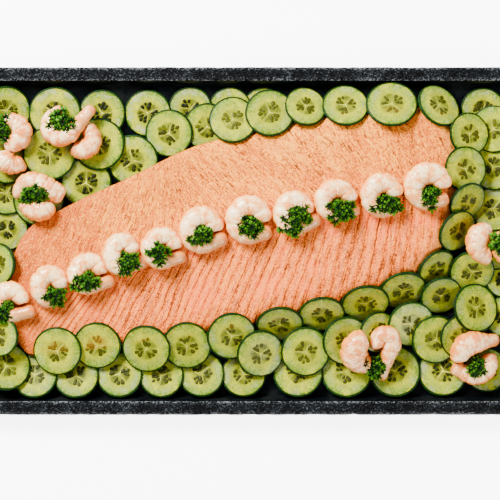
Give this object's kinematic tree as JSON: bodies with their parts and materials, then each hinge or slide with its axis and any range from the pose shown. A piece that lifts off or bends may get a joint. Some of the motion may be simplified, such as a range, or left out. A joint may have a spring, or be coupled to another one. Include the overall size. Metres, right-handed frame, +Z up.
{
  "type": "poached salmon platter",
  "caption": "Skinned side of poached salmon on an oblong slate-look buffet tray, bordered with overlapping cucumber slices and dressed with curled shrimps and parsley.",
  "frame": {"origin": "under the middle of the tray, on the surface that the tray stands on", "axes": "+X along the tray towards the thick end of the fish, +Y across the tray towards its back edge, +Z up"},
  "size_m": [0.53, 0.325, 0.0557],
  "materials": {
    "tray": "black slate-look melamine, chiselled edge with paler specks",
    "salmon": "moist poached flesh with fine flakes and grooves",
    "cucumber": "wet, translucent flesh with a dark green skin and seeds",
    "shrimp": "wet, cooked shellfish, creamy white with orange tints",
    "parsley": "curly leaf, dark green with lighter tips",
    "juice": "thin clear cooking juice"
  },
  "bodies": {
    "root": {"tray": "tray", "cucumber_back_row": "cucumber", "cucumber_left_bed": "cucumber", "cucumber_right_column": "cucumber", "cucumber_front_right": "cucumber", "cucumber_front_left": "cucumber", "salmon": "salmon", "cucumber_slice_1": "cucumber", "cucumber_slice_2": "cucumber", "cucumber_slice_3": "cucumber", "cucumber_slice_4": "cucumber", "cucumber_slice_5": "cucumber", "cucumber_slice_6": "cucumber", "cucumber_slice_7": "cucumber", "cucumber_slice_8": "cucumber", "cucumber_slice_9": "cucumber", "cucumber_slice_10": "cucumber", "cucumber_slice_11": "cucumber", "cucumber_slice_12": "cucumber", "cucumber_slice_13": "cucumber", "cucumber_slice_14": "cucumber", "cucumber_slice_15": "cucumber", "cucumber_slice_16": "cucumber", "cucumber_slice_17": "cucumber", "cucumber_slice_18": "cucumber", "cucumber_slice_19": "cucumber", "cucumber_slice_20": "cucumber", "cucumber_slice_21": "cucumber", "cucumber_slice_22": "cucumber", "cucumber_slice_23": "cucumber", "cucumber_slice_24": "cucumber", "cucumber_slice_25": "cucumber", "cucumber_slice_26": "cucumber", "cucumber_slice_27": "cucumber", "cucumber_slice_28": "cucumber", "cucumber_slice_29": "cucumber", "cucumber_slice_30": "cucumber", "shrimp_1": "shrimp", "shrimp_2": "shrimp", "shrimp_3": "shrimp", "shrimp_4": "shrimp", "shrimp_5": "shrimp", "shrimp_6": "shrimp", "shrimp_7": "shrimp", "shrimp_8": "shrimp", "shrimp_9": "shrimp", "shrimp_10": "shrimp", "shrimp_11": "shrimp", "garnish_back_left_1": "shrimp", "garnish_back_left_2": "shrimp", "garnish_back_1": "shrimp", "garnish_back_2": "shrimp", "garnish_left_1": "shrimp", "garnish_left_2": "shrimp", "garnish_front_1": "shrimp", "garnish_front_2": "shrimp", "garnish_front_right_1": "shrimp", "garnish_front_right_2": "shrimp", "garnish_right_1": "shrimp", "garnish_right_2": "shrimp"}
  },
  "joints": []
}
